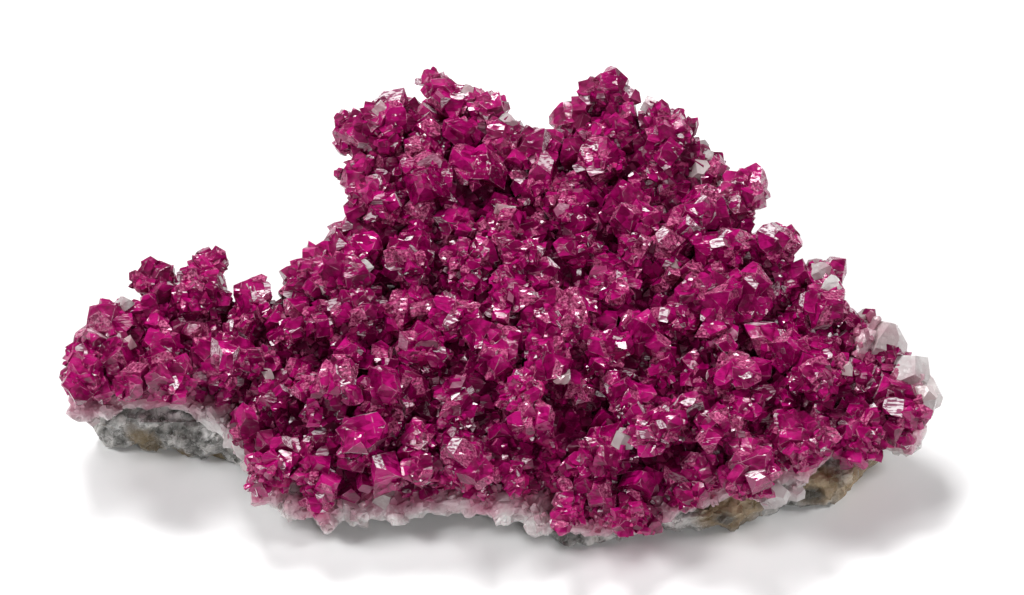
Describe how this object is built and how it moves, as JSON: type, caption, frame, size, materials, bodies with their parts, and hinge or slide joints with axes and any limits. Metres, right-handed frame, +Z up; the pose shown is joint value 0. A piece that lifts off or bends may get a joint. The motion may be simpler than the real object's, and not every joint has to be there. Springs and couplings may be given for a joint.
{
  "type": "roselite specimen",
  "caption": "Display specimen: grey host rock with a band of white calcite and a crust of magenta crystals over its top.",
  "frame": {"origin": "under the middle of the bounding box, on the surface that the specimen lies on", "axes": "+X along the specimen's length, from its narrow wing to its wide end; +Z up, out of the crystal crust"},
  "size_m": [0.084, 0.0498, 0.0194],
  "materials": {
    "host_rock": "dull, broken, grey with tan stains",
    "calcite": "white, glassy, slightly translucent",
    "roselite": "magenta, translucent, bright glassy facets"
  },
  "bodies": {
    "root": {"host_rock": "host_rock", "calcite_band": "calcite", "roselite_crust": "roselite"}
  },
  "joints": []
}
